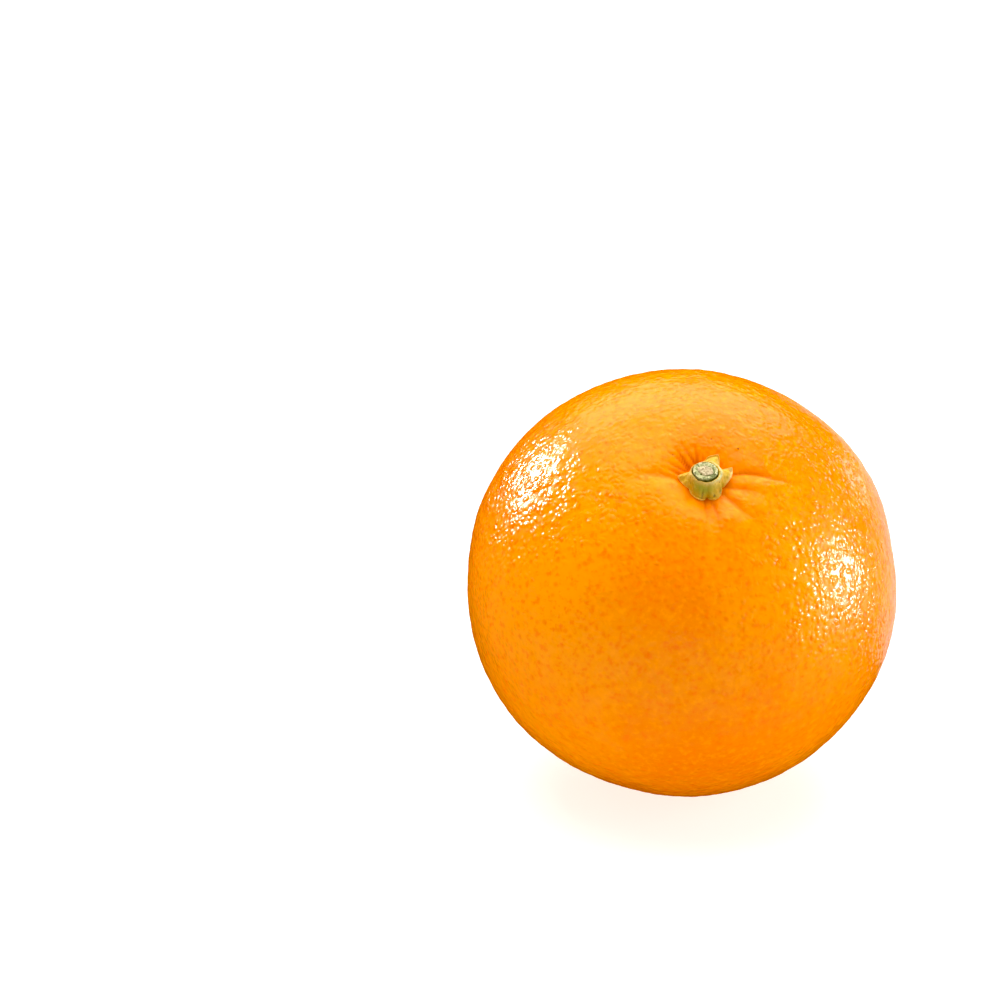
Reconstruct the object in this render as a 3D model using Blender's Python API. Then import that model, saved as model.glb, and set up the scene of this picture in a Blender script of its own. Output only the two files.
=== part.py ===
"""A whole orange with its calyx and the cut end of its stem. Units are metres, with +Z up.

The fruit rests on a small flat spot, with its stem end tipped forward, towards -Y. Every piece is modelled
about the stem axis, which is +Z with its zero at the fruit's centre, and one empty tips all of them.
"""

import math

import bmesh
import bpy

# The fruit
FRUIT_DIAMETER = 0.0805  # across its waist
FRUIT_LENGTH = 0.0765  # from the stem end to the blossom end, without the two dimples
STEM_DIMPLE_DEPTH = 0.0022
STEM_DIMPLE_REACH = 0.0065  # from the stem axis to where the dimple is about a third as deep
BLOSSOM_DIMPLE_DEPTH = 0.0008
BLOSSOM_DIMPLE_REACH = 0.0028
REST_SPOT_RADIUS = 0.0075

# How it lies
STEM_TILT = 40  # degrees between the stem axis and upright
STEM_TURN = 11  # degrees from -Y towards +X

# The stem's cut end
STUB_RADIUS = 0.0021
STUB_RISE = 0.0031  # above the skin under it
STUB_ROUNDING = 0.00025  # of the cut's edge
PITH_RADIUS = 0.0013
PITH_DEPTH = 0.0002  # of the pith below the cut

# The calyx
CLEARANCE = 0.0003  # between any two pieces
COLLAR_WALL = 0.0006
COLLAR_RISE = 0.0026  # above the skin under it
CALYX_FLARE = 0.0004  # how much wider the calyx is at its foot than at its collar, between two sepals
SEPAL_THICKNESS = 0.0005
SEPAL_HALF_WIDTH = 30  # degrees about the stem axis
SEPALS = (  # direction about the stem axis in degrees, and length past the calyx's foot
    (18, 0.0022),
    (52, 0.0016),
    (174, 0.0013),
    (257, 0.0012),
    (287, 0.0013),
)

# How finely each surface is divided
FRUIT_RINGS = 52
FRUIT_STEPS = 90
RING_CROWDING = 0.65  # 0 spaces the fruit's rings evenly, 1 crowds them all into its two ends
STUB_STEPS = 32
CALYX_STEPS = 120
SLOPE_STEPS = 6

MERGE_DISTANCE = 1e-5


def dimple(radius, depth, reach):
    """How far a dimple sinks the skin, at this distance from the stem axis."""
    return depth * math.exp(-((radius / reach) ** 2))


def skin_height(radius):
    """Height of the skin about the stem above the fruit's centre, at this distance from the stem axis."""
    dome = FRUIT_LENGTH / 2 * math.sqrt(1 - (2 * radius / FRUIT_DIAMETER) ** 2)
    return dome - dimple(radius, STEM_DIMPLE_DEPTH, STEM_DIMPLE_REACH)


def seat_height(radius):
    """Height of the underside of what sits on the skin."""
    return skin_height(radius) + CLEARANCE


def fruit_profile():
    """The fruit's outline from its stem end, down its +X side, to its blossom end."""
    points = []
    for ring in range(FRUIT_RINGS + 1):
        share = ring / FRUIT_RINGS
        angle = math.pi * share - RING_CROWDING * math.sin(2 * math.pi * share) / 2
        radius = FRUIT_DIAMETER / 2 * math.sin(angle)
        height = FRUIT_LENGTH / 2 * math.cos(angle)
        if share < 0.5:
            height -= dimple(radius, STEM_DIMPLE_DEPTH, STEM_DIMPLE_REACH)
        else:
            height += dimple(radius, BLOSSOM_DIMPLE_DEPTH, BLOSSOM_DIMPLE_REACH)
        points.append((radius, height))
    return points


def stub_profile():
    """The stub's outline: its sunken pith, its rounded edge, its side, and its foot, which follows the skin."""
    top = skin_height(0) + STUB_RISE
    points = [(0, top - PITH_DEPTH), (PITH_RADIUS, top - PITH_DEPTH), (PITH_RADIUS + PITH_DEPTH, top)]
    for step in range(4):
        angle = math.radians(30 * step)
        points.append((
            STUB_RADIUS - STUB_ROUNDING * (1 - math.sin(angle)),
            top - STUB_ROUNDING * (1 - math.cos(angle)),
        ))
    for step in range(4):
        radius = STUB_RADIUS * (1 - step / 3)
        points.append((radius, seat_height(radius)))
    return points


def sepal_length(direction):
    """How far the calyx reaches past its foot, in this direction in degrees."""
    lengths = [0]
    for middle, length in SEPALS:
        off = abs((direction - middle + 180) % 360 - 180) / SEPAL_HALF_WIDTH
        lengths.append(length * max(0, 1 - off) ** 1.2)
    return max(lengths)


def calyx_section(direction):
    """The calyx's closed outline in the half plane through the stem axis in this direction."""
    inner = STUB_RADIUS + CLEARANCE
    shoulder = inner + COLLAR_WALL
    tip = shoulder + CALYX_FLARE + sepal_length(direction)
    points = [(inner, skin_height(inner) + COLLAR_RISE)]
    for step in range(SLOPE_STEPS + 1):
        share = step / SLOPE_STEPS
        radius = shoulder + (tip - shoulder) * share
        rise = SEPAL_THICKNESS + (COLLAR_RISE - CLEARANCE - SEPAL_THICKNESS) * (1 - share) ** 2
        points.append((radius, seat_height(radius) + rise))
    for step in range(SLOPE_STEPS + 1):
        radius = tip + (inner - tip) * step / SLOPE_STEPS
        points.append((radius, seat_height(radius)))
    return points


def clear_scene():
    for thing in list(bpy.data.objects):
        bpy.data.objects.remove(thing)


def material(name, colour, roughness):
    made = bpy.data.materials.new(name)
    made.use_nodes = True
    shader = made.node_tree.nodes["Principled BSDF"]
    shader.inputs["Base Color"].default_value = (*colour, 1)
    shader.inputs["Roughness"].default_value = roughness
    shader.inputs["Metallic"].default_value = 0
    return made


def add_piece(name, mesh, look, parent):
    piece = bpy.data.objects.new(name, mesh)
    bpy.context.collection.objects.link(piece)
    piece.parent = parent
    mesh.materials.append(look)
    return piece


def add_turned_piece(name, profile, steps, look, parent):
    """A piece turned from its profile about the stem axis."""
    mesh = bpy.data.meshes.new(name)
    points = [(radius, 0, height) for radius, height in profile]
    mesh.from_pydata(points, [(i, i + 1) for i in range(len(points) - 1)], [])
    piece = add_piece(name, mesh, look, parent)
    turn = piece.modifiers.new("turn", "SCREW")
    turn.steps = steps
    turn.render_steps = steps
    turn.use_merge_vertices = True
    turn.merge_threshold = MERGE_DISTANCE
    turn.use_smooth_shade = True
    return piece


def add_stem_axis():
    """The fruit's centre, as high as its flat spot lets it sit, with +Z along the tipped stem."""
    tilt = math.radians(STEM_TILT)
    lowest = math.hypot(FRUIT_DIAMETER / 2 * math.sin(tilt), FRUIT_LENGTH / 2 * math.cos(tilt))
    axis = bpy.data.objects.new("stem_axis", None)
    bpy.context.collection.objects.link(axis)
    axis.location.z = lowest * math.sqrt(1 - (2 * REST_SPOT_RADIUS / FRUIT_DIAMETER) ** 2)
    axis.rotation_euler = (tilt, 0, math.radians(STEM_TURN))
    return axis


def add_ground_cutter():
    """A block with its top at zero height, which cuts the flat spot."""
    mesh = bpy.data.meshes.new("ground_cutter")
    block = bmesh.new()
    bmesh.ops.create_cube(block, size=2 * FRUIT_DIAMETER)
    bmesh.ops.translate(block, verts=block.verts, vec=(0, 0, -FRUIT_DIAMETER))
    block.to_mesh(mesh)
    block.free()
    cutter = bpy.data.objects.new("ground_cutter", mesh)
    bpy.context.collection.objects.link(cutter)
    cutter.hide_render = True
    cutter.display_type = "WIRE"
    return cutter


def add_fruit(axis):
    peel = material("orange_peel", (0.93, 0.27, 0.005), 0.4)
    fruit = add_turned_piece("fruit", fruit_profile(), FRUIT_STEPS, peel, axis)
    flat_spot = fruit.modifiers.new("flat_spot", "BOOLEAN")
    flat_spot.operation = "DIFFERENCE"
    flat_spot.solver = "EXACT"
    flat_spot.object = add_ground_cutter()


def add_stem_stub(axis):
    bark = material("cut_stem", (0.42, 0.42, 0.22), 0.75)
    add_turned_piece("stem_stub", stub_profile(), STUB_STEPS, bark, axis)


def add_calyx(axis):
    """Sections all round the stem axis, each bridged to the next, which leaves a hole for the stem."""
    ring = bmesh.new()
    sections = []
    for step in range(CALYX_STEPS):
        direction = 360 * step / CALYX_STEPS
        across, along = math.cos(math.radians(direction)), math.sin(math.radians(direction))
        sections.append([ring.verts.new((r * across, r * along, z)) for r, z in calyx_section(direction)])
    for one, other in zip(sections, sections[1:] + sections[:1]):
        for a, b, c, d in zip(one, other, other[1:] + other[:1], one[1:] + one[:1]):
            ring.faces.new((a, b, c, d))
    bmesh.ops.recalc_face_normals(ring, faces=ring.faces)
    mesh = bpy.data.meshes.new("calyx")
    ring.to_mesh(mesh)
    ring.free()
    mesh.shade_smooth()
    mesh.set_sharp_from_angle(angle=math.radians(50))
    add_piece("calyx", mesh, material("calyx_green", (0.42, 0.34, 0.05), 0.65), axis)


clear_scene()
stem_axis = add_stem_axis()
add_fruit(stem_axis)
add_calyx(stem_axis)
add_stem_stub(stem_axis)
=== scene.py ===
"""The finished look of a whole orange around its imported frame, in metres, with +Z up.

The skin, the calyx and the stem's cut end are surfaces worked out with numpy in the stem's own frame: the
zero at the fruit's centre, z along the stem, x towards the right and y towards the back. Each is then
turned and moved into the object's frame.
"""

import math

import bpy
import numpy as np
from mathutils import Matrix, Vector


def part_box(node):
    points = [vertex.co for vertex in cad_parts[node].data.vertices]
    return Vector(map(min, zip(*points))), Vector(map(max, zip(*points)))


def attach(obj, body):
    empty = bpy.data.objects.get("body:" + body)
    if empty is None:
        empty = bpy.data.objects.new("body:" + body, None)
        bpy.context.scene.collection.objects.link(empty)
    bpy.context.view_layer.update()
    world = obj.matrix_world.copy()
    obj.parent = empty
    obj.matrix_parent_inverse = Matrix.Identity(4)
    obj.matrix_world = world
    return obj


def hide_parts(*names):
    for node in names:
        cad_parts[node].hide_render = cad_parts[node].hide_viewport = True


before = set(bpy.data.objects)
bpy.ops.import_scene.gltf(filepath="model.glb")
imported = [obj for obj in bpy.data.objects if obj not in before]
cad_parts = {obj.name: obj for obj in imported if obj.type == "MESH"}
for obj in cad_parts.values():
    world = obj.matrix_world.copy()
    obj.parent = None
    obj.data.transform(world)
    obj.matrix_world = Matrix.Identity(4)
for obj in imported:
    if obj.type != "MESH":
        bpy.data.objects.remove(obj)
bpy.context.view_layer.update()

MM = 0.001

# ------------------------------------------------------------------ how the fruit lies

STEM_TILT = 39.5  # degrees between the stem and upright, towards -Y
STEM_TURN = 9.4  # degrees from -Y towards +X


def stem_frame():
    """The stem frame's x, y and z axes as columns: a tip about X by STEM_TILT, then a turn about Z."""
    tilt, turn = math.radians(STEM_TILT), math.radians(STEM_TURN)
    tip = np.array([
        [1, 0, 0],
        [0, math.cos(tilt), -math.sin(tilt)],
        [0, math.sin(tilt), math.cos(tilt)],
    ])
    swing = np.array([
        [math.cos(turn), -math.sin(turn), 0],
        [math.sin(turn), math.cos(turn), 0],
        [0, 0, 1],
    ])
    return swing @ tip


def fruit_size(stem):
    """The radius at the waist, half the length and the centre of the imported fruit.

    An ellipsoid turned about the unit axis n reaches sqrt(waist² (1 - n²) + half² n²) along each of the
    three axes, so its reach along X and along Y gives both radii.
    """
    low, high = (np.array(corner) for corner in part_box("fruit"))
    reach = (high - low)[:2] / 2
    share = np.stack([1 - stem[:2] ** 2, stem[:2] ** 2], axis=1)
    waist, half = np.sqrt(np.linalg.solve(share, reach**2))
    rise = math.sqrt(waist**2 * (1 - stem[2] ** 2) + half**2 * stem[2] ** 2)
    centre = np.array([(low[0] + high[0]) / 2, (low[1] + high[1]) / 2, high[2] - rise])
    return waist, half, centre


STEM_AXES = stem_frame()
WAIST, HALF_LENGTH, CENTRE = fruit_size(STEM_AXES[:, 2])


def placed(points):
    """Points of the stem frame in the object's frame: turned by the stem's axes and moved to the centre."""
    return points @ STEM_AXES.T + CENTRE


# ------------------------------------------------------------------ noise and blends


def ease(low, high, value):
    """0 below low, 1 above high, and 3t² - 2t³ between, with t the share of the way."""
    share = np.clip((value - low) / (high - low), 0, 1)
    return share * share * (3 - 2 * share)


def bell(value, width):
    """A bell curve: e to the power of -(value / width)²."""
    return np.exp(-((value / width) ** 2))


def turn_from(direction, middle):
    """Degrees from the middle direction to each direction, between -180 and 180."""
    return (direction - middle + 180) % 360 - 180


def cell_number(cells, seed):
    """A repeatable number from 0 to 1 for each whole-numbered cell, by mixing the bits of its places."""
    x, y, z = (cells[..., i].astype(np.int64).astype(np.uint32) for i in range(3))
    mixed = x * np.uint32(73856093) ^ y * np.uint32(19349663) ^ z * np.uint32(83492791)
    mixed = mixed ^ np.uint32(seed * 40503 + 977)
    for _ in range(2):
        mixed = (mixed ^ (mixed >> np.uint32(15))) * np.uint32(2246822519)
        mixed = (mixed ^ (mixed >> np.uint32(13))) * np.uint32(3266489917)
    return (mixed >> np.uint32(8)) / float(2**24)


def soft_noise(points, size, seed):
    """Noise from -1 to 1: a number on each corner of cubes of this size, blended by 3t² - 2t³ each way."""
    scaled = points / size
    corner = np.floor(scaled)
    share = scaled - corner
    share = share * share * (3 - 2 * share)
    total = np.zeros(len(points))
    for offset in np.ndindex(2, 2, 2):
        weight = np.prod(np.where(np.array(offset) == 1, share, 1 - share), axis=1)
        total += weight * cell_number(corner + offset, seed)
    return 2 * total - 1


def nearest_cell(points, size, seed):
    """Distance to the nearest of one point set at random in each cube of this size, in cube sides."""
    scaled = points / size
    corner = np.floor(scaled)
    nearest = np.full(len(points), np.inf)
    for offset in np.ndindex(3, 3, 3):
        cell = corner + offset - 1
        middle = cell + np.stack([cell_number(cell, seed + i) for i in range(3)], axis=1)
        nearest = np.minimum(nearest, np.linalg.norm(scaled - middle, axis=1))
    return nearest


def smooth_through(knots, count):
    """Catmull-Rom curves through knots along the second last axis: count points between each two knots.

    Between knots b and c, with neighbours a and d, the point at t is
    (2b + (c - a) t + (2a - 5b + 4c - d) t² + (3b - a - 3c + d) t³) / 2.
    """
    before = np.concatenate([2 * knots[..., :1, :] - knots[..., 1:2, :], knots[..., :-2, :]], axis=-2)
    after = np.concatenate([knots[..., 2:, :], 2 * knots[..., -1:, :] - knots[..., -2:-1, :]], axis=-2)
    a, b, c, d = (part[..., :, None, :] for part in (before, knots[..., :-1, :], knots[..., 1:, :], after))
    t = np.linspace(0, 1, count, endpoint=False)[:, None]
    curve = (2 * b + (c - a) * t + (2 * a - 5 * b + 4 * c - d) * t**2 + (3 * b - a - 3 * c + d) * t**3) / 2
    curve = curve.reshape(*curve.shape[:-3], -1, curve.shape[-1])
    return np.concatenate([curve, knots[..., -1:, :]], axis=-2)


# ------------------------------------------------------------------ meshes


def add_surface(name, points, faces):
    """A smooth piece that rides on the orange's only body."""
    mesh = bpy.data.meshes.new(name)
    mesh.from_pydata(points, [], faces)
    mesh.update()
    mesh.shade_smooth()
    piece = bpy.data.objects.new(name, mesh)
    bpy.context.scene.collection.objects.link(piece)
    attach(piece, "root")
    return piece


def add_values(piece, name, values):
    """Keeps one number at each point, which the piece's material reads by this name."""
    attribute = piece.data.attributes.new(name, "FLOAT", "POINT")
    attribute.data.foreach_set("value", values.astype(np.float32))


def add_colours(piece, name, colours):
    """Keeps one colour at each point, which the piece's material reads by this name."""
    attribute = piece.data.attributes.new(name, "FLOAT_COLOR", "POINT")
    opaque = np.concatenate([colours, np.ones((len(colours), 1))], axis=1)
    attribute.data.foreach_set("color", opaque.astype(np.float32).ravel())


def ball_grid(count):
    """Unit directions and four-sided faces of a ball.

    Each face of a cube carries count by count squares at the tangents of even angles from -45 to 45
    degrees, and every point is pushed out to length 1. Points that two faces share are joined.
    """
    line = np.tan(np.linspace(-math.pi / 4, math.pi / 4, count + 1))
    u, v = np.meshgrid(line, line, indexing="ij")
    one = np.ones_like(u)
    sides = [(one, u, v), (-one, v, u), (v, one, u), (u, -one, v), (u, v, one), (v, u, -one)]
    points = np.concatenate([np.stack(side, axis=-1).reshape(-1, 3) for side in sides])
    points /= np.linalg.norm(points, axis=1, keepdims=True)
    ids = np.arange(len(points)).reshape(6, count + 1, count + 1)
    squares = np.stack([ids[:, :-1, :-1], ids[:, 1:, :-1], ids[:, 1:, 1:], ids[:, :-1, 1:]], axis=-1)
    _, first, joined = np.unique(points.round(7), axis=0, return_index=True, return_inverse=True)
    return points[first], joined.reshape(-1)[squares.reshape(-1, 4)]


def ring_faces(around, along):
    """Faces between the lines of a grid that closes on itself both around and along, outside out."""
    ids = np.arange(around * along).reshape(around, along)
    other = np.roll(ids, -1, axis=0)
    corners = [ids, np.roll(ids, -1, axis=1), np.roll(other, -1, axis=1), other]
    return np.stack(corners, axis=-1).reshape(-1, 4)


def with_poles(grid):
    """A turned grid's points, with only one kept at each end of its lines, where they all meet."""
    rings = grid[:, 1:-1].reshape(-1, *grid.shape[2:])
    return np.concatenate([grid[:1, 0], rings, grid[:1, -1]])


def turned_faces(around, along):
    """Faces for the points that with_poles keeps: squares between the lines, triangles at both ends."""
    ids = 1 + np.arange(around * (along - 2)).reshape(around, along - 2)
    other = np.roll(ids, -1, axis=0)
    squares = np.stack([ids[:, :-1], ids[:, 1:], other[:, 1:], other[:, :-1]], axis=-1).reshape(-1, 4)
    first, last = np.zeros(around, int), np.full(around, ids.max() + 1)
    first_cap = np.stack([first, ids[:, 0], other[:, 0]], axis=1)
    last_cap = np.stack([last, other[:, -1], ids[:, -1]], axis=1)
    return [*squares.tolist(), *first_cap.tolist(), *last_cap.tolist()]


# ------------------------------------------------------------------ the fruit's skin

SKIN_SQUARES = 127  # along each edge of the cube that the skin's grid comes from
GATHERED = 0.45  # how much closer its points stand at the stem
GATHERED_WITHIN = 0.6  # radians from the stem

STEM_HOLLOW_DEPTH = 2.2 * MM
STEM_HOLLOW_REACH = 6.5 * MM  # to where it is about a third as deep
BLOSSOM_HOLLOW_DEPTH = 0.8 * MM
BLOSSOM_HOLLOW_REACH = 2.8 * MM
BLOSSOM_SCAR = 1.5 * MM  # radius of the dry scar in it
BLOSSOM_RAYS = 5  # shallow grooves that run out from it
BLOSSOM_RAY_DEPTH = 0.16 * MM
END_REACH = 0.3  # share of half the fruit's length over which the hollow at either end fades in
FLAT_SOFTNESS = 0.08 * MM  # how gently the flat spot's edge curves

# Creases in the skin round the stem: direction in degrees, how far its line passes from the stem's axis,
# start, end, depth, half width and how dark the painted shade in it is
CREASES = (
    (353, 1.9 * MM, 2.5 * MM, 19.0 * MM, 0.60 * MM, 0.38 * MM, 0.60),
    (171, 0.0 * MM, 3.0 * MM, 16.0 * MM, 0.50 * MM, 0.60 * MM, 0.30),
    (267, 0.0 * MM, 3.0 * MM, 9.5 * MM, 0.46 * MM, 0.40 * MM, 0.70),
    (279, 0.0 * MM, 4.0 * MM, 12.5 * MM, 0.30 * MM, 0.34 * MM, 0.60),
    (314, 0.0 * MM, 3.0 * MM, 14.0 * MM, 0.40 * MM, 0.50 * MM, 0.35),
    (343, 0.0 * MM, 3.0 * MM, 12.0 * MM, 0.36 * MM, 0.42 * MM, 0.45),
    (228, 0.0 * MM, 3.0 * MM, 9.0 * MM, 0.24 * MM, 0.55 * MM, 0.15),
    (101, 0.0 * MM, 2.5 * MM, 8.5 * MM, 0.36 * MM, 0.32 * MM, 1.0),
    (113, 0.0 * MM, 2.5 * MM, 10.0 * MM, 0.36 * MM, 0.32 * MM, 1.0),
    (124, 0.0 * MM, 2.5 * MM, 10.5 * MM, 0.36 * MM, 0.32 * MM, 1.0),
    (135, 0.0 * MM, 2.5 * MM, 10.5 * MM, 0.36 * MM, 0.32 * MM, 1.0),
    (146, 0.0 * MM, 2.5 * MM, 10.0 * MM, 0.36 * MM, 0.32 * MM, 1.0),
    (157, 0.0 * MM, 2.5 * MM, 9.0 * MM, 0.36 * MM, 0.32 * MM, 1.0),
    (66, 0.0 * MM, 3.0 * MM, 8.0 * MM, 0.18 * MM, 0.40 * MM, 0.45),
    (86, 0.0 * MM, 3.0 * MM, 7.5 * MM, 0.16 * MM, 0.34 * MM, 0.60),
)

CREASE_SWAY = 0.25 * MM  # how far a crease strays from its straight line
CREASE_SWAY_LENGTH = 1.7 * MM  # along it, for each radian of the sway's wave
CALYX_SHADOW_RADIUS = 3.3 * MM  # where painted shadow darkens the skin beside the calyx
CALYX_SHADOW_SPREAD = 1.5 * MM

SHOULDER_RISE = 0.42 * MM  # of the swollen ring round the stem
SHOULDER_RADIUS = 9.5 * MM
SHOULDER_SPREAD = 4.5 * MM
SHOULDER_PINCHES = ((6, 13), (171, 14), (274, 11), (311, 10), (340, 8))  # direction and width in degrees

# Tiny dark specks behind the stem: how far across and behind it, and their radius
SPECKS = (
    (2.0 * MM, 8.3 * MM, 0.22 * MM),
    (6.6 * MM, 6.1 * MM, 0.26 * MM),
    (-5.2 * MM, 5.4 * MM, 0.14 * MM),
)

# Where the fruit is flatter or fuller than an even ball: azimuth and elevation in degrees, rise, spread
SIDES = (
    (3, 8, -0.45 * MM, 13),
    (180, 0, -0.45 * MM, 13),
    (16, 35, 0.35 * MM, 16),
    (195, -34, 0.30 * MM, 18),
    (-44, -60, 0.25 * MM, 16),
    (80, 30, 0.25 * MM, 22),
    (120, -15, -0.30 * MM, 20),
)

# Painted light on the peel above zero and painted shade below zero, with some of its own uneven colour:
# azimuth, elevation, amount, spread
TONE_AND_PAINTED_LIGHT = (
    (222, 17, 0.90, 44),
    (309, 15, 0.60, 22),
    (264, 20, -0.70, 12),
    (278, -33, -0.80, 20),
    (340, 56, -0.95, 20),
    (285, 65, -0.50, 14),
    (204, 39, -0.75, 20),
)

# Soft swellings of the skin: size, height and seed
SWELLINGS = ((13.0 * MM, 0.13 * MM, 11), (5.5 * MM, 0.07 * MM, 12), (2.8 * MM, 0.035 * MM, 13))
STEM_SWELLINGS = ((4.2 * MM, 0.16 * MM, 14), (2.2 * MM, 0.05 * MM, 15))  # only round the stem
STEM_CALM_REACH = 11 * MM  # how far from the stem the pebbles stay low
PEBBLE_SIZE = 2.0 * MM
PEBBLE_RISE = 0.09 * MM


def gathered(outward):
    """Directions drawn towards the stem: an angle a from it becomes a (1 - GATHERED e^-(a / width)²)."""
    angle = np.arccos(outward[:, 2].clip(-1, 1))
    drawn = angle * (1 - GATHERED * bell(angle, GATHERED_WITHIN))
    flat = outward[:, :2] / np.maximum(np.hypot(outward[:, 0], outward[:, 1]), 1e-12)[:, None]
    return np.column_stack([flat * np.sin(drawn)[:, None], np.cos(drawn)])


def crease_marks(x, y):
    """How far the creases sink the skin, and how much painted shade darkens them.

    A crease runs out along its direction and sways in a sine wave. Across it the depth is 0.55 of a bell
    as wide as the crease plus 0.45 of one 2.8 times as wide. It eases in at its start and fades out over
    its outer half, where it is a little wider. Its painted shade is a bell 0.8 times as wide.
    """
    sunk, dark = 0 * x, 0 * x
    for number, (direction, aside, start, end, depth, half_width, darkness) in enumerate(CREASES):
        angle = math.radians(direction)
        along = x * math.cos(angle) + y * math.sin(angle)
        across = y * math.cos(angle) - x * math.sin(angle)
        sway = CREASE_SWAY * np.sin(along / CREASE_SWAY_LENGTH + 2.3 * number)
        across = across - aside + sway
        kept = ease(start - 1.5 * MM, start + MM, along) * (1 - ease(end * 0.45, end, along))
        width = half_width * (0.8 + 0.4 * np.maximum(along, 0) / end)
        sunk += depth * kept * (0.55 * bell(across, width) + 0.45 * bell(across, 2.8 * width))
        # painted shade along each crease, darkest on its line
        dark = np.maximum(dark, darkness * kept * bell(across, 0.8 * width))
    return sunk, dark


def shoulder_rise(x, y):
    """The swollen shoulders: a ring round the stem, about a third as high behind it, pinched at creases."""
    radius = np.hypot(x, y)
    direction = np.degrees(np.arctan2(y, x))
    pinch = 1 + 0 * x
    for middle, width in SHOULDER_PINCHES:
        pinch -= 0.75 * bell(turn_from(direction, middle), width)
    front = 0.35 + 0.65 * ease(-0.12, 0.12, -y / (radius + MM))
    return SHOULDER_RISE * bell(radius - SHOULDER_RADIUS, SHOULDER_SPREAD) * front * np.clip(pinch, 0, 1)


def hollow_depth(x, y):
    """How far the skin round the stem lies below an even ball: the hollow and creases less the shoulders."""
    round_hollow = STEM_HOLLOW_DEPTH * bell(np.hypot(x, y), STEM_HOLLOW_REACH)
    return round_hollow + crease_marks(x, y)[0] - shoulder_rise(x, y)


def skin_height(x, y):
    """Height of the skin round the stem above the fruit's centre, without its finest relief."""
    ball = HALF_LENGTH * np.sqrt(1 - (np.hypot(x, y) / WAIST) ** 2)
    return ball - hollow_depth(x, y)


def blossom_depth(x, y):
    """The small round hollow at the blossom end, and faint uneven rays that run out from it."""
    radius, direction = np.hypot(x, y), np.arctan2(y, x)
    rays = 0.5 + 0.5 * np.cos(BLOSSOM_RAYS * direction + 0.8 * np.sin(3 * direction))
    reach = ease(0.5 * MM, 2 * MM, radius) * (1 - ease(3 * MM, 8 * MM, radius))
    hollow = BLOSSOM_HOLLOW_DEPTH * bell(radius, BLOSSOM_HOLLOW_REACH)
    return hollow + BLOSSOM_RAY_DEPTH * rays**3 * reach


def over_sides(points, sides):
    """The sum over these sides of each one's amount times a bell of the angle from its direction."""
    outward = points @ STEM_AXES.T
    outward /= np.linalg.norm(outward, axis=1, keepdims=True)
    total = np.zeros(len(points))
    for azimuth, elevation, amount, spread in sides:
        a, e = math.radians(azimuth), math.radians(elevation)
        middle = (math.cos(e) * math.cos(a), math.cos(e) * math.sin(a), math.sin(e))
        angle = np.degrees(np.arccos((outward @ middle).clip(-1, 1)))
        total += amount * bell(angle, spread)
    return total


def pressed_flat(points):
    """The flat spot: a height z becomes (z + sqrt(z² + s²)) / 2, so nothing goes below the ground."""
    z = points[:, 2]
    lifted = (z + np.sqrt(z**2 + FLAT_SOFTNESS**2)) / 2
    return np.column_stack([points[:, :2], lifted])


def add_fruit():
    """The skin: an ellipsoid with relief along its own outward normal, then sunk along the stem at both ends.

    The relief is the sum of the fuller and flatter sides, the soft swellings and the pebbles, each of which
    is a low dome over the nearest of many scattered points.
    """
    outward, faces = ball_grid(SKIN_SQUARES)
    outward = gathered(outward)
    points = outward * (WAIST, WAIST, HALF_LENGTH)
    normal = outward / (WAIST, WAIST, HALF_LENGTH)
    normal /= np.linalg.norm(normal, axis=1, keepdims=True)
    x, y = points[:, 0], points[:, 1]
    radius = np.hypot(x, y)
    stem_end = ease(0, END_REACH, outward[:, 2])
    blossom_end = ease(0, END_REACH, -outward[:, 2])
    near_stem = bell(radius, STEM_CALM_REACH) * stem_end
    relief = over_sides(points, SIDES)
    for size, height, seed in SWELLINGS:
        relief += height * soft_noise(points, size, seed)
    for size, height, seed in STEM_SWELLINGS:
        relief += height * soft_noise(points, size, seed) * near_stem * ease(2.5 * MM, 6 * MM, radius)
    pebbles = PEBBLE_RISE * (1 - ease(0.1, 0.85, nearest_cell(points, PEBBLE_SIZE, 21)))
    relief += (pebbles - PEBBLE_RISE / 2) * (1 - 0.7 * near_stem)
    points = points + normal * relief[:, None]
    points[:, 2] -= hollow_depth(x, y) * stem_end - blossom_depth(x, y) * blossom_end
    fruit = add_surface("orange_skin", pressed_flat(placed(points)), faces)
    # painted shadow in a ring beside the calyx, kept together with the painted shade of the creases
    calyx_shadow = 0.5 * bell(radius - CALYX_SHADOW_RADIUS, CALYX_SHADOW_SPREAD)
    add_values(fruit, "crease", np.maximum(crease_marks(x, y)[1], calyx_shadow) * stem_end)
    scar = bell(radius, BLOSSOM_SCAR) * ease(0.5, 0.9, -outward[:, 2])
    add_values(fruit, "scar", scar * (0.75 + 0.25 * soft_noise(points, 0.7 * MM, 16)))
    # painted light where this is above zero and painted shade where it is below, with some of the peel's own
    # uneven colour
    tone_and_light = over_sides(points, TONE_AND_PAINTED_LIGHT)
    add_values(fruit, "gold_and_painted_light", tone_and_light.clip(0, 1))
    add_values(fruit, "deep", (-tone_and_light).clip(0, 1))
    add_values(fruit, "calm", calm_share(outward @ STEM_AXES.T, near_stem))
    return fruit


def calm_share(outward, near_stem):
    """Where the wax is smoother: the most of four shares, near the stem, low down, on top and at the left."""
    x, _, z = outward.T
    low = 0.75 * ease(-0.2, 0.5, -z)
    top = 0.4 * ease(0.5, 0.9, z)
    left = 0.5 * ease(0.8, 0.98, -x)
    return np.stack([0.75 * near_stem, low, top, left]).max(axis=0)


# ------------------------------------------------------------------ the calyx

CALYX_ROUND = 400  # lines round the stem
CALYX_KNOT_STEPS = 7  # points between two knots of its outline

STUB_RADIUS = 2.2 * MM
COLLAR_BORE = 2.40 * MM
COLLAR_RISE = 2.85 * MM
BODY_REACH = 2.95 * MM  # of its foot, where there is no sepal
COLLAR_EDGE = 0.16 * MM  # thickness of the sepals' edge
STEM_LEAN = 0.20  # how far the collar and the stub lean back for each unit of their height
LEAN_ABOVE = 0.5 * MM  # height over the skin where that starts
SUNK = 0.12 * MM  # how far its underside goes into the skin

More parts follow.
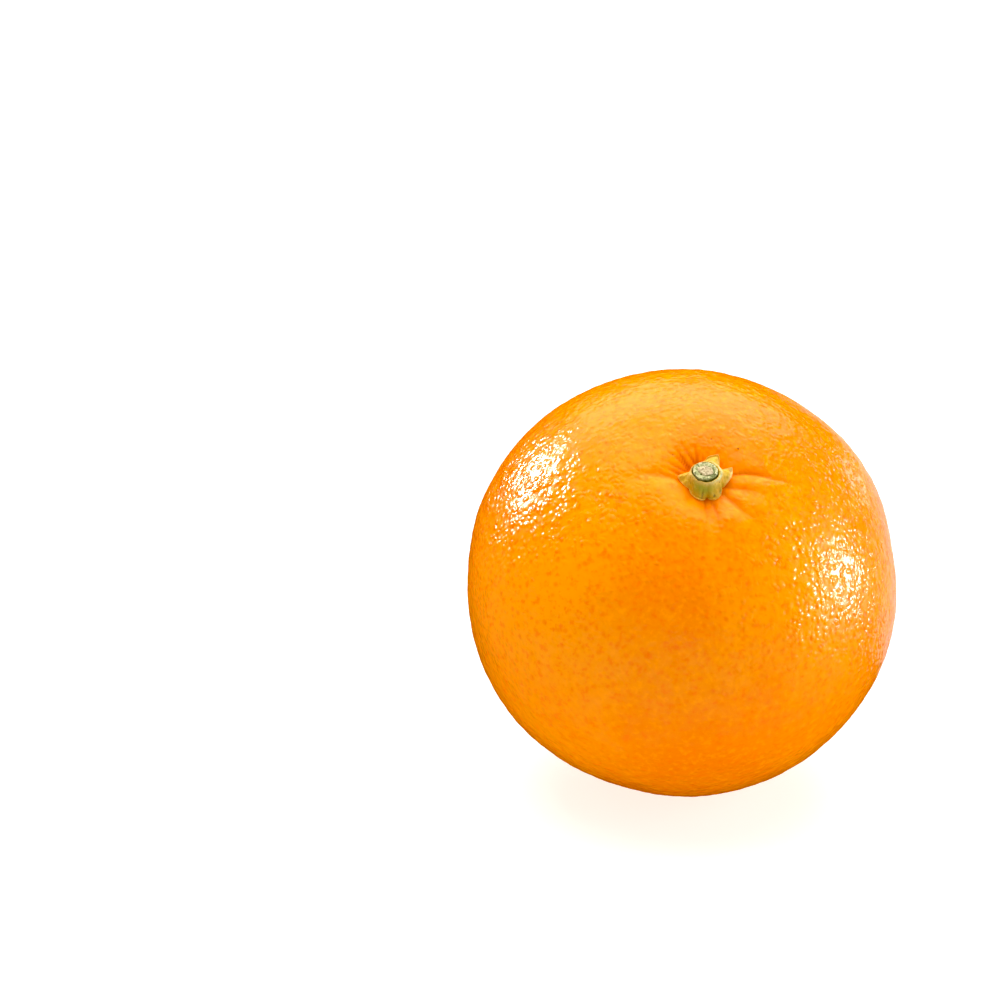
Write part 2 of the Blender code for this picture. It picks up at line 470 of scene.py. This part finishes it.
# Sepals: direction, widths before and after it in degrees, length past the body, lift of the tip, and how
# round each of its two sides is
SEPALS = (
    (19, 46, 20, 2.25 * MM, 1.20 * MM, 1.45, 1.0),
    (57, 26, 48, 2.15 * MM, 1.05 * MM, 1.0, 1.5),
    (171, 32, 44, 1.95 * MM, 0.60 * MM, 1.1, 0.8),
    (253, 60, 18, 1.15 * MM, 0.10 * MM, 1.35, 1.35),
    (288, 18, 56, 1.20 * MM, 0.10 * MM, 1.35, 1.35),
)

LIFTED_WEBS = (0.85, 0.9, 1.0)  # how much of the collar the first three sepals, which are lifted, take up

# Grooves down the collar: direction and width in degrees, and depth
GROOVES = (
    (254, 4.5, 0.16 * MM),
    (290, 5.0, 0.128 * MM),
    (271, 6.0, 0.26 * MM),
    (214, 9.0, 0.15 * MM),
)

# Dark cracks: direction and width in degrees, place and width along the outline in knots, and how dark
CRACKS = (
    (255, 2.4, 6.0, 0.55, 0.7),
    (254, 6.0, 7.0, 0.30, 1.0),
    (291, 3.6, 6.5, 0.45, 1.0),
    (271, 2.8, 7.7, 0.80, 0.6),
    (318, 6.0, 6.8, 1.20, 0.6),
)

CALYX_OLIVE = (0.60, 0.38, 0.016)
CALYX_GREEN = (0.24, 0.31, 0.009)
CALYX_GREY = (0.52, 0.55, 0.30)
CALYX_AMBER = (0.80, 0.42, 0.028)
CALYX_STRAW = (0.90, 0.66, 0.26)
CALYX_EDGE = (0.95, 0.66, 0.20)
CALYX_CRACK = (0.07, 0.06, 0.006)


def sepal_shares(direction):
    """How much of each sepal stands in each direction: 1 - t^roundness, with t the share of its width."""
    shares = []
    for middle, before, after, _, _, round_before, round_after in SEPALS:
        off = turn_from(direction, middle)
        share = (np.abs(off) / np.where(off < 0, before, after)).clip(0, 1)
        shares.append(1 - share ** np.where(off < 0, round_before, round_after))
    return np.stack(shares)


def leaning(height):
    """How far back the collar and the stub stand at this height over the skin."""
    return STEM_LEAN * np.maximum(height - LEAN_ABOVE, 0)


def add_calyx():
    """A collar and its sepals: in each direction a closed outline of knots, joined by smooth curves.

    The knots run up inside the bore, over the rim, down the body to its foot, out to the sepal's edge and
    back under it. The edge's reach is the body's plus each sepal's length times its share, and its height
    above the skin is the sepal's lift times that share to the power of 1.6. The upper part leans back.
    """
    direction = np.linspace(0, 360, CALYX_ROUND, endpoint=False)
    angle = np.radians(direction)
    around = np.stack([np.cos(angle), np.sin(angle), np.zeros_like(angle)], axis=1)
    waver = soft_noise(around, 0.35, 31)
    ripple = soft_noise(around, 0.11, 32)
    share = sepal_shares(direction)
    leaf = share.max(axis=0)
    lengths, lifts = np.array(SEPALS).T[3:5, :, None]
    length = (lengths * share).max(axis=0)
    lift = (lifts * share**1.6).max(axis=0) + 0.12 * MM * ripple * leaf
    front = bell(turn_from(direction, 265), 62)
    right = bell(turn_from(direction, 10), 75)
    rim = COLLAR_RISE - 0.42 * MM * np.sin(angle) + 0.05 * MM * np.cos(angle) + 0.16 * MM * waver
    crest = rim + 0.08 * MM * ripple
    bore = COLLAR_BORE + 0.04 * MM * waver - 0.14 * MM * np.cos(angle)
    bore = bore - 0.06 * MM * (1 - bell(turn_from(direction, 255), 75))
    wall = 0.24 * MM + 0.38 * MM * right + 0.02 * MM * ripple
    tip = BODY_REACH + 0.12 * MM * front + length
    foot = BODY_REACH + 0.22 * MM * front + 0.15 * (tip - BODY_REACH)
    tip = tip + 0.07 * MM * ripple * (0.4 + leaf)
    belly = 0.28 * MM * front
    groove = sum(depth * bell(turn_from(direction, middle), width) for middle, width, depth in GROOVES)
    lifted = share[:3] * np.array(LIFTED_WEBS)[:, None]
    web = lifted.max(axis=0) ** 0.6
    brow = bore + wall
    middle = foot * 0.5 + tip * 0.5

    def slope(share_out, radius, height):
        """A knot of the body: where a lifted sepal stands it moves onto a line from the rim to the tip."""
        line_radius = brow + (tip - brow) * share_out
        line_height = (rim - 0.3 * MM) * (1 - share_out) + (COLLAR_EDGE + lift) * share_out - 0.12 * MM
        radius = radius + (line_radius - radius) * web
        height = height + (line_height - height) * web
        return np.stack([radius, height], axis=1)

    near_tip = tip * 0.85 + foot * 0.15
    knots = np.stack([
        # up inside the bore and over the rim
        np.stack([bore + 0.05 * MM, 0.2 * MM + 0 * rim], axis=1),
        np.stack([bore, rim * 0.6], axis=1),
        np.stack([bore + 0.02 * MM, crest - 0.16 * MM], axis=1),
        np.stack([bore + wall * 0.5, crest], axis=1),
        np.stack([brow, rim - 0.24 * MM], axis=1),
        # down the body and out over the sepal
        slope(0.28, brow + 0.13 * MM + belly * 0.6 - groove * 0.3, rim * 0.66),
        slope(0.52, foot - 0.05 * MM + belly - groove, 0.85 * MM + lift * 0.15),
        slope(0.74, middle, 0.34 * MM + lift * 0.30 - groove * 0.5),
        np.stack([near_tip, 0.24 * MM + lift * 0.72], axis=1),
        # round its edge and back under it
        np.stack([tip, COLLAR_EDGE + lift], axis=1),
        np.stack([tip, COLLAR_EDGE * 0.3 + lift], axis=1),
        np.stack([near_tip, lift * 0.62 - SUNK], axis=1),
        np.stack([middle, lift * 0.15 - SUNK], axis=1),
        np.stack([bore + wall * 0.5, -SUNK + 0 * rim], axis=1),
    ], axis=1)
    outline = smooth_through(knots, CALYX_KNOT_STEPS)
    along = np.broadcast_to(np.arange(outline.shape[1]) / CALYX_KNOT_STEPS, outline.shape[:2])
    radius, height = outline[..., 0], outline[..., 1]
    spots = np.stack([radius * around[:, :1], radius * around[:, 1:2], height], axis=-1).reshape(-1, 3)
    crinkle = 0.11 * MM * soft_noise(spots, 0.75 * MM, 33) + 0.05 * MM * soft_noise(spots, 0.3 * MM, 34)
    crinkle = crinkle.reshape(radius.shape) * ease(2.5, 5, along) * (1 - ease(9.5, 11, along))
    height = height + crinkle
    radius = radius + crinkle * (1 - ease(6, 8, along))
    x = radius * around[:, :1]
    y = radius * around[:, 1:2]
    z = skin_height(x, y) + height
    y = y + leaning(height)
    points = np.stack([x, y, z], axis=-1).reshape(-1, 3)
    faces = ring_faces(CALYX_ROUND, outline.shape[1])
    calyx = add_surface("calyx_button", placed(points), faces)
    add_colours(calyx, "tint", calyx_tints(direction[:, None], along, leaf[:, None]).reshape(-1, 3))
    return calyx


def calyx_tints(direction, along, leaf):
    """Colours by direction and by place along the outline: green under the rim, grey rim, dry pale tips.

    Each tint is laid over the ones before it by its amount, from 0 to 1.
    """
    green = bell(turn_from(direction, 250), 48) * bell(along - 5.0, 0.9)
    rim = bell(along - 3.6, 0.8) * (0.25 + 0.75 * bell(turn_from(direction, 0), 80))
    amber = ease(6.6, 8.6, along) * (1 - ease(10.2, 10.6, along))
    dry = ease(6.6, 8.2, along) * bell(turn_from(direction, 12), 24) * ease(0.1, 0.6, leaf)
    edge = bell(along - 9.4, 0.55) * (0.35 + 0.65 * leaf)
    cracks = 0 * along
    for middle, width, place, reach, darkness in CRACKS:
        cracks = cracks + darkness * bell(turn_from(direction, middle), width) * bell(along - place, reach)
    colour = np.broadcast_to(CALYX_OLIVE, (*along.shape, 3))
    for tint, amount in (
        (CALYX_GREEN, green * 0.85),
        (CALYX_GREY, rim * 0.9),
        (CALYX_AMBER, amber * 0.75),
        (CALYX_STRAW, dry * 0.9),
        (CALYX_EDGE, edge * 0.6),
        (CALYX_CRACK, cracks.clip(0, 1) * 0.8),
    ):
        colour = colour + (np.array(tint) - colour) * np.broadcast_to(amount, along.shape)[..., None]
    return colour


# ------------------------------------------------------------------ the stem's cut end

STUB_ROUND = 240
STUB_KNOT_STEPS = 8
STUB_RISE = 3.2 * MM
PITH_RADIUS = 1.25 * MM
STUB_FOOT = -3.3 * MM  # its lowest point below the cut
STUB_ASIDE = -0.15 * MM  # from the stem's axis to the stub's, towards the right
STUB_BEHIND = 0.07 * MM  # and towards the back
CUT_SLOPE = -0.22  # the cut faces a little backwards


def add_stub():
    """The cut stem: a turned outline from the pith's middle over the bark ring, down its side and under it.

    The cut is a slanting plane, roughened by two noises, and the whole stub leans back with the collar.
    """
    angle = np.linspace(0, 2 * math.pi, STUB_ROUND, endpoint=False)
    around = np.stack([np.cos(angle), np.sin(angle), np.zeros_like(angle)], axis=1)
    waver = soft_noise(around, 0.4, 41)
    pith = PITH_RADIUS * (1 + 0.14 * waver + 0.07 * np.cos(2 * angle + 0.6))
    side = STUB_RADIUS * (1 + 0.03 * soft_noise(around, 0.5, 42))
    zero = np.zeros_like(angle)
    knots = np.stack([
        # over the pith
        np.stack([zero, zero + 0.02 * MM], axis=1),
        np.stack([pith * 0.5, zero + 0.05 * MM], axis=1),
        np.stack([pith * 0.92, zero + 0.02 * MM], axis=1),
        # down into the gap round it and over the bark ring
        np.stack([pith * 1.10, zero - 0.16 * MM], axis=1),
        np.stack([(pith + side) / 2, zero - 0.06 * MM + 0.07 * MM * waver], axis=1),
        np.stack([side - 0.12 * MM, zero - 0.08 * MM], axis=1),
        np.stack([side, zero - 0.24 * MM], axis=1),
        # down the side and under the foot
        np.stack([side * 0.98, zero - 1.1 * MM], axis=1),
        np.stack([side * 0.98, zero - 2.9 * MM], axis=1),
        np.stack([side * 0.85, zero + STUB_FOOT], axis=1),
        np.stack([zero, zero + STUB_FOOT], axis=1),
    ], axis=1)
    outline = smooth_through(knots, STUB_KNOT_STEPS)
    along = np.broadcast_to(np.arange(outline.shape[1]) / STUB_KNOT_STEPS, outline.shape[:2])
    radius, drop = outline[..., 0], outline[..., 1]
    x = radius * around[:, :1]
    y = radius * around[:, 1:2]
    grain = np.stack([x, y, drop], axis=-1).reshape(-1, 3)
    on_cut = 1 - ease(5.5, 7, along)
    rough = soft_noise(grain, 0.42 * MM, 43) * 0.09 * MM + soft_noise(grain, 0.17 * MM, 44) * 0.04 * MM
    height = STUB_RISE + drop + (CUT_SLOPE * y + rough.reshape(drop.shape)) * on_cut
    points = np.stack([
        x + STUB_ASIDE,
        y + STUB_BEHIND + leaning(height),
        skin_height(0, 0) + height,
    ], axis=-1)
    stub = add_surface("stem_end", placed(with_poles(points)), turned_faces(STUB_ROUND, outline.shape[1]))
    pith_share = 1 - ease(2.0, 2.9, along)
    # Painted shade: in the gap round the pith, darker to one side, and down the stub's side in the gap inside
    # the collar, most at the front
    gap_shade = bell(along - 3.0, 0.35) * (0.35 + 0.65 * bell(np.sin(angle - 5.2) - 1, 0.8))[:, None]
    open_side = bell(turn_from(np.degrees(angle), 275), 62)[:, None]
    gap_shade = gap_shade + ease(5.3, 6.2, along) * (0.2 + 0.8 * open_side)
    add_values(stub, "pith", with_poles(pith_share))
    add_values(stub, "groove", with_poles(gap_shade.clip(0, 1)))
    return stub


# ------------------------------------------------------------------ materials

PEEL_ORANGE = (0.87, 0.226, 0.0006)
PEEL_WARM_ORANGE = (0.90, 0.268, 0.0010)
# lighter and deeper peel colours for painted light and shade, with some of the peel's own uneven colour
PEEL_GOLD_PAINTED_LIGHT = (0.94, 0.36, 0.0030)
PEEL_DEEP_PAINTED_SHADE = (0.87, 0.185, 0.0006)
PEEL_LIGHT_FLECK = (0.99, 0.335, 0.0016)
PEEL_DARK_FLECK = (0.89, 0.180, 0.0005)
PORE_ORANGE = (0.86, 0.158, 0.0005)
# colour of the painted shade in the creases and beside the calyx
CREASE_SHADE = (0.60, 0.085, 0.0010)
SCAR_RIM = (0.42, 0.17, 0.030)
SCAR_BROWN = (0.12, 0.06, 0.014)
SPECK_BROWN = (0.12, 0.02, 0.003)
RARE_SPECK_BROWN = (0.10, 0.03, 0.004)
PATCH_SIZE = 12 * MM
FLECK_SIZE = 1.2 * MM
PORE_SPACING = 1.9 * MM
RARE_SPECK_SPACING = 11 * MM
WAX_DOME_SPACING = 1.1 * MM
WAX_DEPTH = 0.125 * MM

CALYX_DARK_PATCH = (0.30, 0.24, 0.008)
CALYX_PALE_PATCH = (0.80, 0.60, 0.13)
CALYX_PIT = (0.07, 0.045, 0.006)

BARK_DARK = (0.24, 0.27, 0.08)
BARK_PALE = (0.60, 0.58, 0.32)
BARK_SCRATCH = (0.075, 0.10, 0.012)
PITH_DARK = (0.26, 0.20, 0.09)
PITH_PALE = (0.60, 0.51, 0.31)
# colour of the painted shade in the gaps round the pith and round the stub
STUB_GAP_SHADE = (0.10, 0.12, 0.02)


def add_node(tree, kind, inputs=None, **settings):
    """A node with its settings, and each input set to a value or linked from a socket."""
    node = tree.nodes.new("ShaderNode" + kind)
    for name, value in settings.items():
        setattr(node, name, value)
    for socket, value in (inputs or {}).items():
        if isinstance(value, bpy.types.NodeSocket):
            tree.links.new(value, node.inputs[socket])
        else:
            node.inputs[socket].default_value = value
    return node


def blend_colours(tree, amount, first, second):
    """The first colour where amount is 0, the second where it is 1."""
    first, second = (c if isinstance(c, bpy.types.NodeSocket) else (*c, 1) for c in (first, second))
    return add_node(tree, "Mix", {0: amount, 6: first, 7: second}, data_type="RGBA").outputs[2]


def ramp(tree, value, low, high, to_low=0.0, to_high=1.0):
    """The value carried smoothly from low..high to to_low..to_high, and held at both ends."""
    inputs = {"Value": value, 1: low, 2: high, 3: to_low, 4: to_high}
    return add_node(tree, "MapRange", inputs, interpolation_type="SMOOTHSTEP").outputs[0]


def noise(tree, place, size, detail=2.0, roughness=0.5, coloured=False):
    """Soft noise of this size: a number, or three of them as a colour."""
    inputs = {"Vector": place, "Scale": 1 / size, "Detail": detail, "Roughness": roughness}
    return add_node(tree, "TexNoise", inputs).outputs["Color" if coloured else 0]


def cells(tree, place, size):
    """Distance to the nearest of points scattered this far apart, in that size, and a colour for each."""
    node = add_node(tree, "TexVoronoi", {"Vector": place, "Scale": 1 / size}, feature="F1")
    return node.outputs["Distance"], node.outputs["Color"]


def rare_dots(tree, place, size, core, edge, amount, rarity):
    """Dots on a few of the points scattered this far apart: whole up to core and gone at edge, in that size.

    Each point has a number from 0 to 1, and only those above rarity get a dot.
    """
    away, kind = cells(tree, place, size)
    number = add_node(tree, "SeparateColor", {0: kind}).outputs[0]
    chosen = ramp(tree, number, rarity, rarity + 0.05)
    return arithmetic(tree, "MULTIPLY", ramp(tree, away, core, edge, amount, 0.0), chosen)


def arithmetic(tree, operation, first, second, third=0.0):
    """One step of arithmetic on numbers."""
    return add_node(tree, "Math", {0: first, 1: second, 2: third}, operation=operation).outputs[0]


def vector_math(tree, operation, first, second=(0, 0, 0), third=(0, 0, 0)):
    """One step of arithmetic on places or directions: a number for a length, else a vector."""
    node = add_node(tree, "VectorMath", {0: first, 1: second, 2: third}, operation=operation)
    return node.outputs["Value" if operation == "LENGTH" else "Vector"]


def stored(tree, name):
    """The number that the piece keeps at each point under this name."""
    return add_node(tree, "Attribute", attribute_name=name).outputs["Fac"]


def new_material(name):
    """A material, its node tree, its shader and the place on the piece in its own coordinates."""
    material = bpy.data.materials.new(name)
    material.use_nodes = True
    tree = material.node_tree
    place = add_node(tree, "TexCoord").outputs["Object"]
    return material, tree, tree.nodes["Principled BSDF"], place


def link_finish(tree, shader, colour, roughness, height, depth, strength):
    """Gives the shader its colour, its roughness and a bump of this depth from a height."""
    bump = add_node(tree, "Bump", {"Strength": strength, "Distance": depth, "Height": height})
    tree.links.new(colour, shader.inputs["Base Color"])
    tree.links.new(roughness, shader.inputs["Roughness"])
    tree.links.new(bump.outputs[0], shader.inputs["Normal"])


def set_values(shader, values):
    """Sets the shader's own sockets that are the same all over the surface."""
    for name, value in values.items():
        shader.inputs[name].default_value = value


def wear(piece, material):
    """Gives the piece this material alone."""
    piece.data.materials.clear()
    piece.data.materials.append(material)


def peel_colour(tree, place, pore, calm):
    """Two oranges in soft patches, painted light and shade with some of the peel's own uneven colour, fine
    flecks, darker pores, painted shade in the creases and beside the calyx, and the scar.
    """
    patches = noise(tree, place, PATCH_SIZE, 3.0, 0.55)
    flecks = noise(tree, place, FLECK_SIZE, 3.0, 0.6)
    scar = stored(tree, "scar")
    shown = ramp(tree, calm, 0.0, 1.0, 1.0, 0.3)
    pored = arithmetic(tree, "MULTIPLY", ramp(tree, pore, 0.08, 0.38, 0.5, 0.0), shown)
    colour = blend_colours(tree, ramp(tree, patches, 0.3, 0.7), PEEL_ORANGE, PEEL_WARM_ORANGE)
    for amount, tint in (
        # painted light and painted shade, with some of the peel's own uneven colour
        (stored(tree, "gold_and_painted_light"), PEEL_GOLD_PAINTED_LIGHT),
        (stored(tree, "deep"), PEEL_DEEP_PAINTED_SHADE),
        (ramp(tree, flecks, 0.50, 0.72, 0.0, 0.6), PEEL_LIGHT_FLECK),
        (ramp(tree, flecks, 0.30, 0.48, 0.75, 0.0), PEEL_DARK_FLECK),
        (pored, PORE_ORANGE),
        # painted shade in the creases and beside the calyx
        (stored(tree, "crease"), CREASE_SHADE),
        (ramp(tree, scar, 0.15, 0.55, 0.0, 0.9), SCAR_RIM),
        (ramp(tree, scar, 0.70, 0.95, 0.0, 0.8), SCAR_BROWN),
    ):
        colour = blend_colours(tree, amount, colour, tint)
    return colour


def with_specks(tree, place, colour):
    """The colour with the named specks, each round a line along the stem, and a few scattered ones."""
    for across, behind, radius in SPECKS:
        foot = placed(np.array([(across, behind, 0.0)]))[0]
        away = vector_math(tree, "SUBTRACT", place, foot)
        away = vector_math(tree, "CROSS_PRODUCT", away, STEM_AXES[:, 2])
        away = vector_math(tree, "LENGTH", away)
        is_speck = ramp(tree, away, 0.5 * radius, radius, 0.85, 0.0)
        colour = blend_colours(tree, is_speck, colour, SPECK_BROWN)
    is_speck = rare_dots(tree, place, RARE_SPECK_SPACING, 0.014, 0.024, 1.0, 0.55)
    return blend_colours(tree, is_speck, colour, RARE_SPECK_BROWN)


def wax_height(tree, place, pore, calm):
    """Low domes of wax in unevenly drifting cells, with a fine grain, cut by pores and lower where calm."""
    drift = noise(tree, place, 3.2 * MM, 1.0, coloured=True)
    drift = vector_math(tree, "SUBTRACT", drift, (0.5, 0.5, 0.5))
    drifted = vector_math(tree, "MULTIPLY_ADD", drift, (1.6 * MM,) * 3, place)
    dome, _ = cells(tree, drifted, WAX_DOME_SPACING)
    fine = noise(tree, place, 0.5 * MM, 1.0)
    height = arithmetic(tree, "MULTIPLY_ADD", fine, 0.15, ramp(tree, dome, 0.0, 0.72, 1.0, 0.0))
    strong = ramp(tree, noise(tree, place, 5 * MM, 1.0), 0.3, 0.7, 0.7, 1.25)
    strong = arithmetic(tree, "MULTIPLY", strong, ramp(tree, calm, 0.0, 1.0, 1.0, 0.15))
    height = arithmetic(tree, "MULTIPLY", height, strong)
    return arithmetic(tree, "MULTIPLY_ADD", ramp(tree, pore, 0.05, 0.36), 0.35, height)


def peel_material():
    """Glossy orange peel: its colours and specks, under pebbled wax that is smoother in some places."""
    material, tree, shader, place = new_material("orange_peel")
    calm = stored(tree, "calm")
    pore, _ = cells(tree, place, PORE_SPACING)
    colour = with_specks(tree, place, peel_colour(tree, place, pore, calm))
    roughness = ramp(tree, noise(tree, place, 2.5 * MM, 2.0), 0.3, 0.7, 0.15, 0.22)
    link_finish(tree, shader, colour, roughness, wax_height(tree, place, pore, calm), WAX_DEPTH, 1.0)
    set_values(shader, {
        "Specular IOR Level": 0.5,
        "IOR": 1.45,
        "Subsurface Weight": 0.2,
        "Subsurface Radius": (1.0, 0.35, 0.06),
        "Subsurface Scale": 1.2 * MM,
    })
    return material


def calyx_material():
    """Dry green skin with fine wrinkles: the point colours, with darker and paler patches and dark pits."""
    material, tree, shader, place = new_material("calyx_skin")
    colour = add_node(tree, "Attribute", attribute_name="tint").outputs["Color"]
    patches = noise(tree, place, 1.0 * MM, 4.0, 0.62)
    for amount, tint in (
        (ramp(tree, patches, 0.50, 0.70, 0.0, 0.5), CALYX_DARK_PATCH),
        (ramp(tree, patches, 0.28, 0.46, 0.45, 0.0), CALYX_PALE_PATCH),
        (rare_dots(tree, place, 1.1 * MM, 0.08, 0.2, 0.8, 0.7), CALYX_PIT),
    ):
        colour = blend_colours(tree, amount, colour, tint)
    roughness = ramp(tree, patches, 0.3, 0.7, 0.45, 0.65)
    wrinkles = noise(tree, place, 0.28 * MM, 4.0, 0.65)
    link_finish(tree, shader, colour, roughness, wrinkles, 0.07 * MM, 0.8)
    set_values(shader, {"Specular IOR Level": 0.35, "Subsurface Weight": 0.1, "Subsurface Scale": 0.5 * MM})
    return material


def stub_material():
    """A grey-green bark ring with dark scratches round a pale, grainy pith, with painted shade in the gaps
    round both.
    """
    material, tree, shader, place = new_material("stem_cut")
    grain = noise(tree, place, 0.35 * MM, 4.0, 0.65)
    scratches = noise(tree, place, 0.75 * MM, 3.0, 0.6)
    bark = blend_colours(tree, ramp(tree, grain, 0.35, 0.65), BARK_DARK, BARK_PALE)
    bark = blend_colours(tree, ramp(tree, scratches, 0.50, 0.60, 0.0, 0.85), bark, BARK_SCRATCH)
    wood = blend_colours(tree, ramp(tree, grain, 0.35, 0.65), PITH_DARK, PITH_PALE)
    colour = blend_colours(tree, stored(tree, "pith"), bark, wood)
    # painted shade in the gaps round the pith and round the stub
    grooves = ramp(tree, stored(tree, "groove"), 0.0, 1.0, 0.0, 0.75)
    colour = blend_colours(tree, grooves, colour, STUB_GAP_SHADE)
    link_finish(tree, shader, colour, ramp(tree, grain, 0.3, 0.7, 0.6, 0.8), grain, 0.06 * MM, 0.8)
    set_values(shader, {"Specular IOR Level": 0.3})
    return material


# ------------------------------------------------------------------ floor, light and camera

VIEW_DISTANCE = 600 * MM
VIEW_RISE = 21.5  # degrees above the fruit's centre
CAMERA_PITCH = 20.08  # degrees that the camera looks down
CAMERA_TURN = 3.475  # degrees that it looks to the left of the fruit
LENS = 115.5  # mm on a sensor 36 mm wide
NEAREST_SEEN = 0.01  # metres from the camera
DARKEST = 0.009  # brightness that is shown as black

FLOOR_HALF = 12.0  # metres, so that its edge lies below the horizon in views from low down
FLOOR_GREY = (0.36, 0.36, 0.36, 1)
FLOOR_GLOW = (0.79, 0.80, 0.76, 1)

WARM_SIDE = (0.70, 0.24, 0.08)
ROOM_GREY = (0.60, 0.60, 0.60)
WHITE = (1, 1, 1)

# Lights: name, direction from the fruit, distance, width and height in metres, radiance, what it gives
# and colour
LIGHTS = (
    ("overhead_box", (-0.05, 0.35, 1), 1.0, 1.3, 1.3, 4.9, "body", WHITE),
    ("right_fill", (1, 0.1, 0.2), 0.8, 0.6, 0.6, 3.0, "body", WHITE),
    ("left_glow", (-1, 0.30, -0.35), 0.6, 0.5, 0.5, 0.9, "body", (1.0, 0.16, 0.03)),
    ("left_box", (-0.775, 0.470, 0.425), 0.6, 0.17, 0.17, 46, "gloss", (1.0, 0.97, 0.92)),
    ("left_veil", (-0.775, 0.470, 0.425), 0.6, 0.34, 0.34, 1.5, "gloss", (1.0, 0.85, 0.5)),
    ("right_box", (0.97, 0.02, 0.10), 0.6, 0.12, 0.18, 30, "gloss", WHITE),
    ("right_veil", (0.97, 0.02, 0.06), 0.6, 0.32, 0.42, 1.6, "gloss", (1.0, 0.92, 0.75)),
    ("upper_right_box", (0.645, 0.749, 0.155), 0.8, 0.14, 0.18, 3, "gloss", WHITE),
    ("back_box", (0, 1, 0.9), 0.9, 1.1, 0.5, 1.2, "gloss", (1.0, 0.95, 0.85)),
    ("low_right_box", (0.50, 0.82, -0.26), 0.8, 0.7, 0.35, 0.8, "gloss", WHITE),
)


def add_floor():
    """A wide level square that glows softly, so the fruit's shadow on it stays pale."""
    half = FLOOR_HALF
    corners = [(-half, -half, 0), (half, -half, 0), (half, half, 0), (-half, half, 0)]
    mesh = bpy.data.meshes.new("floor")
    mesh.from_pydata(corners, [], [(0, 1, 2, 3)])
    floor = bpy.data.objects.new("floor", mesh)
    bpy.context.scene.collection.objects.link(floor)
    material, _, shader, _ = new_material("pale_floor")
    set_values(shader, {
        "Base Color": FLOOR_GREY,
        "Roughness": 0.6,
        "Emission Color": FLOOR_GLOW,
        "Emission Strength": 1.0,
    })
    wear(floor, material)
    floor.visible_glossy = False


def add_light(name, direction, distance, width, height, radiance, gives, colour):
    """A soft rectangular light in this direction from the fruit's centre, which it faces.

    Its power is radiance times pi times its area. Where it gives "gloss" it only makes highlights, and
    where it gives "body" it only lights the matt part of each finish.
    """
    data = bpy.data.lights.new(name, "AREA")
    data.shape = "RECTANGLE"
    data.size, data.size_y = width, height
    data.energy = radiance * math.pi * width * height
    data.color = colour
    lamp = bpy.data.objects.new(name, data)
    outward = np.array(direction) / np.linalg.norm(direction)
    lamp.location = CENTRE + outward * distance
    lamp.rotation_euler = facing(-outward)
    lamp.visible_glossy = gives == "gloss"
    lamp.visible_diffuse = gives == "body"
    bpy.context.scene.collection.objects.link(lamp)


def facing(direction):
    """Euler angles that turn -Z to this direction with no roll."""
    x, y, z = direction
    return (math.pi / 2 + math.atan2(z, math.hypot(x, y)), 0, math.atan2(-x, y))


def add_world():
    """A white room whose left lights the fruit warmly, as other oranges would, and which isn't mirrored."""
    world = bpy.data.worlds.new("studio")
    world.use_nodes = True
    world.cycles_visibility.glossy = False
    tree = world.node_tree
    across = add_node(tree, "SeparateXYZ", {0: add_node(tree, "TexCoord").outputs["Generated"]}).outputs[0]
    colour = blend_colours(tree, ramp(tree, across, -0.95, 0.1), WARM_SIDE, ROOM_GREY)
    seen = add_node(tree, "LightPath").outputs["Is Camera Ray"]
    tree.links.new(blend_colours(tree, seen, colour, WHITE), tree.nodes["Background"].inputs["Color"])
    bpy.context.scene.world = world


def add_camera():
    """On the fruit's -Y side, VIEW_RISE above its centre, looking down and a little past it to the left."""
    data = bpy.data.cameras.new("camera")
    data.lens = LENS
    data.sensor_width = 36
    data.clip_start = NEAREST_SEEN
    camera = bpy.data.objects.new("camera", data)
    rise = math.radians(VIEW_RISE)
    camera.location = CENTRE + VIEW_DISTANCE * np.array([0, -math.cos(rise), math.sin(rise)])
    camera.rotation_euler = (math.radians(90 - CAMERA_PITCH), 0, math.radians(CAMERA_TURN))
    bpy.context.scene.collection.objects.link(camera)
    bpy.context.scene.camera = camera


def set_contrast():
    """Plain colours, with the darkest hundredth of the range taken to black."""
    view = bpy.context.scene.view_settings
    view.view_transform = "Standard"
    view.use_curve_mapping = True
    view.curve_mapping.black_level = (DARKEST,) * 3
    view.curve_mapping.update()


# ------------------------------------------------------------------ the whole orange

for add_piece, node, slot, material in (
    (add_fruit, "fruit", "peel", peel_material),
    (add_calyx, "calyx", "calyx_skin", calyx_material),
    (add_stub, "stem_stub", "stem_wood", stub_material),
):
    piece = add_piece()
    wear(piece, material())
    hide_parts(node)

add_floor()
add_world()
for light in LIGHTS:
    add_light(*light)
add_camera()
set_contrast()
